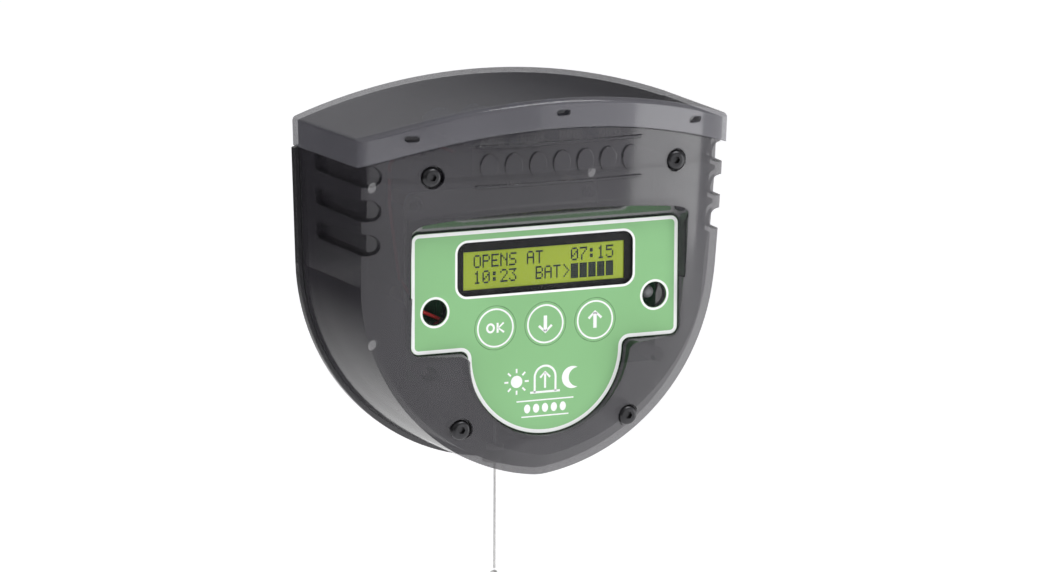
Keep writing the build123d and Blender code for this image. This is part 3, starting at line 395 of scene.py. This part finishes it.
# Keys
# Three round pads of the label's film, each on a plunger that reaches its switch, and each printed
# in white with a ring and its own mark.
key_z, key_pitch = -14.0, 20.08
key_ring_radius, key_ring_width, shaft_width, head_width = 7.03, 0.65, 1.35, 0.95
letter_o = arc((0, 0), 1, 0, 360, 33)[:-1] * (1.35, 1.5) + (-key_pitch - 1.95, key_z)
letter_k = [stroke(line((-19.2, key_z - 1.85), (-19.2, key_z + 1.85), 2), 0.8),
            stroke([(-16.75, key_z + 1.8), (-18.9, key_z - 0.1), (-16.6, key_z - 1.8)], 0.75)]
key_marks = {
    "ok_key": (-key_pitch, [stroke(letter_o, 0.78, closed=True), *letter_k]),
    "down_key": (0.0, [
        stroke(line((0, key_z + 3.1), (0, key_z - 2.7), 2), shaft_width),
        stroke([(-2.6, key_z - 0.6), (0, key_z - 3.1), (2.6, key_z - 0.6)], head_width)]),
    "up_key": (key_pitch, [
        stroke(line((key_pitch, key_z - 3.1), (key_pitch, key_z + 2.7), 2), shaft_width),
        stroke([(17.48, key_z + 0.6), (key_pitch, key_z + 3.1), (22.68, key_z + 0.6)], head_width)]),
}
for key, (x, marks) in key_marks.items():
    ring = stroke(arc((x, key_z), key_ring_radius, 0, 360, 65)[:-1], key_ring_width, closed=True)
    ink_piece = printed(key + "_marks", [ring, *marks], white_ink)
    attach(ink_piece, key)

# Display
# A two-line character module: a black steel bezel over yellow-green glass, lit from behind by a
# milky block, with its dark dots drawn just on the glass. A clear film window covers it.
clear_film = surface(
    "clear_film", (0.02, 0.022, 0.021), (0.03, 0.032, 0.031), (0.03, 0.06), patch=30, grain=1.5,
    bump=0.001, Alpha=0.05)
dress(clear_film, "display_window", "port_windows")
bezel_black = surface(
    "bezel_black", (0.008, 0.008, 0.009), (0.014, 0.014, 0.015), (0.35, 0.5), patch=8, bump=0.01,
    Specular_IOR_Level=0.2)
dress(bezel_black, "display_bezel", "display_header")
display_glass = surface(
    "display_glass", (0.255, 0.335, 0.02), (0.3, 0.385, 0.032), (0.2, 0.3), patch=28, grain=2.0,
    bump=0.001, Emission_Color=(0.33, 0.41, 0.03, 1), Emission_Strength=0.2)
dress(display_glass, "display_glass")
milky = surface("milky_light", (0.75, 0.77, 0.68), (0.8, 0.82, 0.74), (0.4, 0.5))
dress(milky, "display_backlight")
# Each letter's rows of five dots, from the top, as one byte a row.
letters = {
    "O": "0e11111111110e", "P": "1e11111e101010", "E": "1f10101e10101f", "N": "11191513111111",
    "S": "0f10100e01011e", "A": "0e11111f111111", "T": "1f040404040404", "B": "1e11111e11111e",
    "0": "0e11131519110e", "1": "040c040404040e", "2": "0e11010204081f", "3": "1f02040201110e",
    "5": "1f101e0101110e", "7": "1f010204080808", ":": "000c0c000c0c00", ">": "08040201020408",
    "#": "1f1f1f1f1f1f1f1f", " ": ""}
first_x, first_z = -28.1, 7.7 + 2.975 + 2.775
letter_pitch, row_pitch, dot_pitch_x, dot_pitch_z, dot_x, dot_z = 3.55, 5.95, 0.6, 0.7, 0.56, 0.66
dots = []
for row, words in enumerate(("OPENS AT   07:15", "10:23  BAT>#####")):
    for place, letter in enumerate(words):
        for down, byte in enumerate(bytes.fromhex(letters[letter])):
            for across in range(5):
                if byte >> (4 - across) & 1:
                    x = first_x + letter_pitch * place + dot_pitch_x * across
                    z = first_z - row_pitch * row - dot_pitch_z * down
                    dots.append(np.array([(x, z), (x + dot_x, z), (x + dot_x, z - dot_z), (x, z - dot_z)]))
dot_ink = surface(
    "dot_ink", (0.012, 0.016, 0.03), (0.02, 0.026, 0.045), (0.4, 0.5), patch=3, Specular_IOR_Level=0.15)
display_dots = printed("display_dots", dots, dot_ink, front=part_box("display_glass")[0][1] / -MM, thick=0.03)
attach(display_dots, "case")

# Boards and their parts
# Two green fibreglass boards, one behind the other, with a light sensor under the right port and
# black moulded parts on the back. The metal parts of the drive share the ring's bright steel.
board_green = surface("board_green", (0.012, 0.09, 0.035), (0.02, 0.13, 0.05), (0.25, 0.4), patch=7, grain=0.5)
dress(board_green, "main_board", "display_board")
chip_black = surface("chip_black", (0.015, 0.015, 0.016), (0.022, 0.022, 0.023), (0.5, 0.65), patch=4)
dress(chip_black, "processor", "board_parts")
sleeve = surface("capacitor_sleeve", (0.012, 0.014, 0.03), (0.02, 0.022, 0.045), (0.2, 0.3), patch=4)
dress(sleeve, "board_capacitors")
sensor_lens = surface("sensor_lens", (0.8, 0.82, 0.84), (0.86, 0.88, 0.9), (0.04, 0.08), patch=5, Alpha=0.45)
dress(sensor_lens, "light_sensor")
dress(steel, "board_screws", "drum_axle", "idler_axle", "motor_gearhead", "motor_can", "motor_shaft",
      "gearbox_screws", "battery_contacts")

# Drum, gears and gearbox
# Moulded acetal gears and a cord drum turn on steel axles behind a white plate, which stands on
# turned brass pillars. A brass pinion on the motor's shaft drives them.
dress(acetal, "drum_gear", "cord_drum", "idler_small_gear", "idler_large_gear", "gearbox_plate")
brass = surface("brass", (0.55, 0.38, 0.14), (0.66, 0.47, 0.19), (0.22, 0.36), patch=4, Metallic=1.0)
dress(brass, "gearbox_pillars", "motor_pinion")

# Batteries
# Four cells side by side in the black tray, in printed sleeves. Coiled steel springs narrow towards
# the cells at alternate ends.
cell_sleeve = surface("cell_sleeve", (0.05, 0.09, 0.2), (0.08, 0.13, 0.28), (0.22, 0.32), patch=18, grain=0.8)
dress(cell_sleeve, "battery_cells")
low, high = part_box("battery_springs")
cell_pitch, cell_z = 15.6, 54.05
spring_turns, spring_steps, spring_room, spring_rise, spring_end, wire_radius = 4, 160, 3.75, 3.05, 0.35, 0.3
wide_end, narrow_end = 3.0, 1.9
springs = []
for n in range(4):
    x = (n - 1.5) * cell_pitch
    near = low[1] / MM if n % 2 else high[1] / MM - spring_room
    bearing = np.linspace(0, 2 * np.pi * spring_turns, spring_steps)
    ends = (wide_end, narrow_end) if n % 2 else (narrow_end, wide_end)
    coil = np.linspace(*ends, spring_steps)
    helix = np.stack([x + coil * np.cos(bearing), near + spring_end + np.linspace(0, spring_rise, spring_steps),
                      cell_z + coil * np.sin(bearing)], axis=1)
    springs.append(laid_tube(f"spring_{n + 1}", helix * MM, wire_radius, strands=1, lay=1000, sides=10))
for spring in springs:
    dress(steel, spring)
    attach(spring, "case")
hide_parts("battery_springs")

# Battery leads
# A red and a black sleeved wire from the tray, down through the shelf to a plug on the board.
red_sleeve = surface("red_sleeve", (0.55, 0.012, 0.014), (0.68, 0.02, 0.02), (0.35, 0.5), patch=6, grain=0.3)
black_sleeve = surface(
    "black_sleeve", (0.012, 0.012, 0.013), (0.02, 0.02, 0.022), (0.35, 0.5), patch=6, grain=0.3)
dress(red_sleeve, "red_lead")
dress(black_sleeve, "black_lead")
dress(acetal, "lead_plug")

# Floor and light
# A plain white floor well below the hanging ring, and soft light from all round with three square
# panels. The back panel lights the hood without being mirrored in it.
bpy.ops.mesh.primitive_plane_add(size=30, location=(0, 0, -0.62))
floor = bpy.context.object
floor.name = "floor"
floor_white = surface(
    "floor_white", (0.9, 0.9, 0.9), (0.92, 0.92, 0.92), (0.85, 0.95), patch=400, grain=30, bump=0.0,
    Emission_Color=(1, 1, 1, 1), Emission_Strength=0.62)
floor.data.materials.append(floor_white)
world = bpy.data.worlds.new("studio")
bpy.context.scene.world = world
world.use_nodes = True
world.node_tree.nodes["Background"].inputs["Color"].default_value = (0.965, 0.96, 1, 1)
world.node_tree.nodes["Background"].inputs["Strength"].default_value = 0.45
aim = Vector((0, -0.03, 0))
for name, place, size, power in (
    ("key_light", (0.8, -1.7, 1.7), 1.3, 26),
    ("fill_light", (1.6, -1.2, -0.2), 1.0, 8),
    ("back_light", (0.1, 1.9, 1.15), 1.1, 2.6),
):
    panel = bpy.data.lights.new(name, "AREA")
    panel.shape, panel.size, panel.energy = "SQUARE", size, power
    light = bpy.data.objects.new(name, panel)
    light.location = place
    light.rotation_euler = (aim - Vector(place)).to_track_quat("-Z", "Y").to_euler()
    light.visible_glossy = name != "back_light"
    bpy.context.collection.objects.link(light)

# Dark cards
# Four boards that only the gloss sees, black in the middle and fading to the studio's white at one
# or more edges, so that the smoked sides, front and roof run softly from dark to light.
fading = bpy.data.materials.new("card_fading")
fading.use_nodes = True
card_nodes, card_links = fading.node_tree.nodes, fading.node_tree.links
card_nodes.remove(card_nodes["Principled BSDF"])
glow = card_nodes.new("ShaderNodeAttribute")
glow.attribute_name = "glow"
lit = card_nodes.new("ShaderNodeEmission")
card_links.new(glow.outputs["Fac"], lit.inputs["Strength"])
card_links.new(lit.outputs["Emission"], card_nodes["Material Output"].inputs["Surface"])
CARD_POINTS, BLACK_GLOW = 33, 0.035


def fading_card(name, corner, across, upward, fades, edge_glow):
    """A flat grid of points, corner + u * across + v * upward. Each point glows by edge_glow less the
    product of four smooth ramps, one from each side: low u, high u, low v and high v."""
    steps = np.linspace(0, 1, CARD_POINTS)
    u, v = np.meshgrid(steps, steps, indexing="ij")
    dark = np.ones_like(u)
    for nearness, fade in zip((u, 1 - u, v, 1 - v), fades):
        if fade:
            ramp = np.clip(nearness / fade, 0, 1)
            dark *= ramp * ramp * (3 - 2 * ramp)
    points = np.array(corner) + u[..., None] * np.array(across) + v[..., None] * np.array(upward)
    i, j = np.meshgrid(np.arange(CARD_POINTS - 1), np.arange(CARD_POINTS - 1), indexing="ij")
    low, high = i * CARD_POINTS + j, (i + 1) * CARD_POINTS + j
    faces = np.stack([low, high, high + 1, low + 1], axis=-1).reshape(-1, 4)
    mesh = bpy.data.meshes.new(name)
    mesh.from_pydata(points.reshape(-1, 3).tolist(), [], faces.tolist())
    glows = (edge_glow * (1 - dark) + BLACK_GLOW).ravel()
    mesh.attributes.new("glow", "FLOAT", "POINT").data.foreach_set("value", glows)
    mesh.materials.append(fading)
    card = bpy.data.objects.new(name, mesh)
    bpy.context.collection.objects.link(card)
    card.visible_camera = card.visible_diffuse = card.visible_shadow = card.visible_transmission = False


fading_card("back_card", (-3.4, 2.4, -0.6), (6.0, 0, 0), (0, 0, 2.2), (0.0, 0.1, 0.0, 0.6), 0.5)
fading_card("side_card", (-2.2, -1.8, -0.6), (0, 3.6, 0), (0, 0, 1.5), (0.3, 0.0, 0.0, 0.4), 0.45)
fading_card("floor_card", (-2.8, 0.6, -0.61), (3.3, 0, 0), (0, 1.8, 0), (0.0, 0.5, 0.3, 0.0), 0.9)
fading_card("front_card", (-2.6, -2.6, -0.6), (3.5, 0, 0), (0, 0, 2.0), (0.0, 0.4, 0.2, 0.5), 0.45)
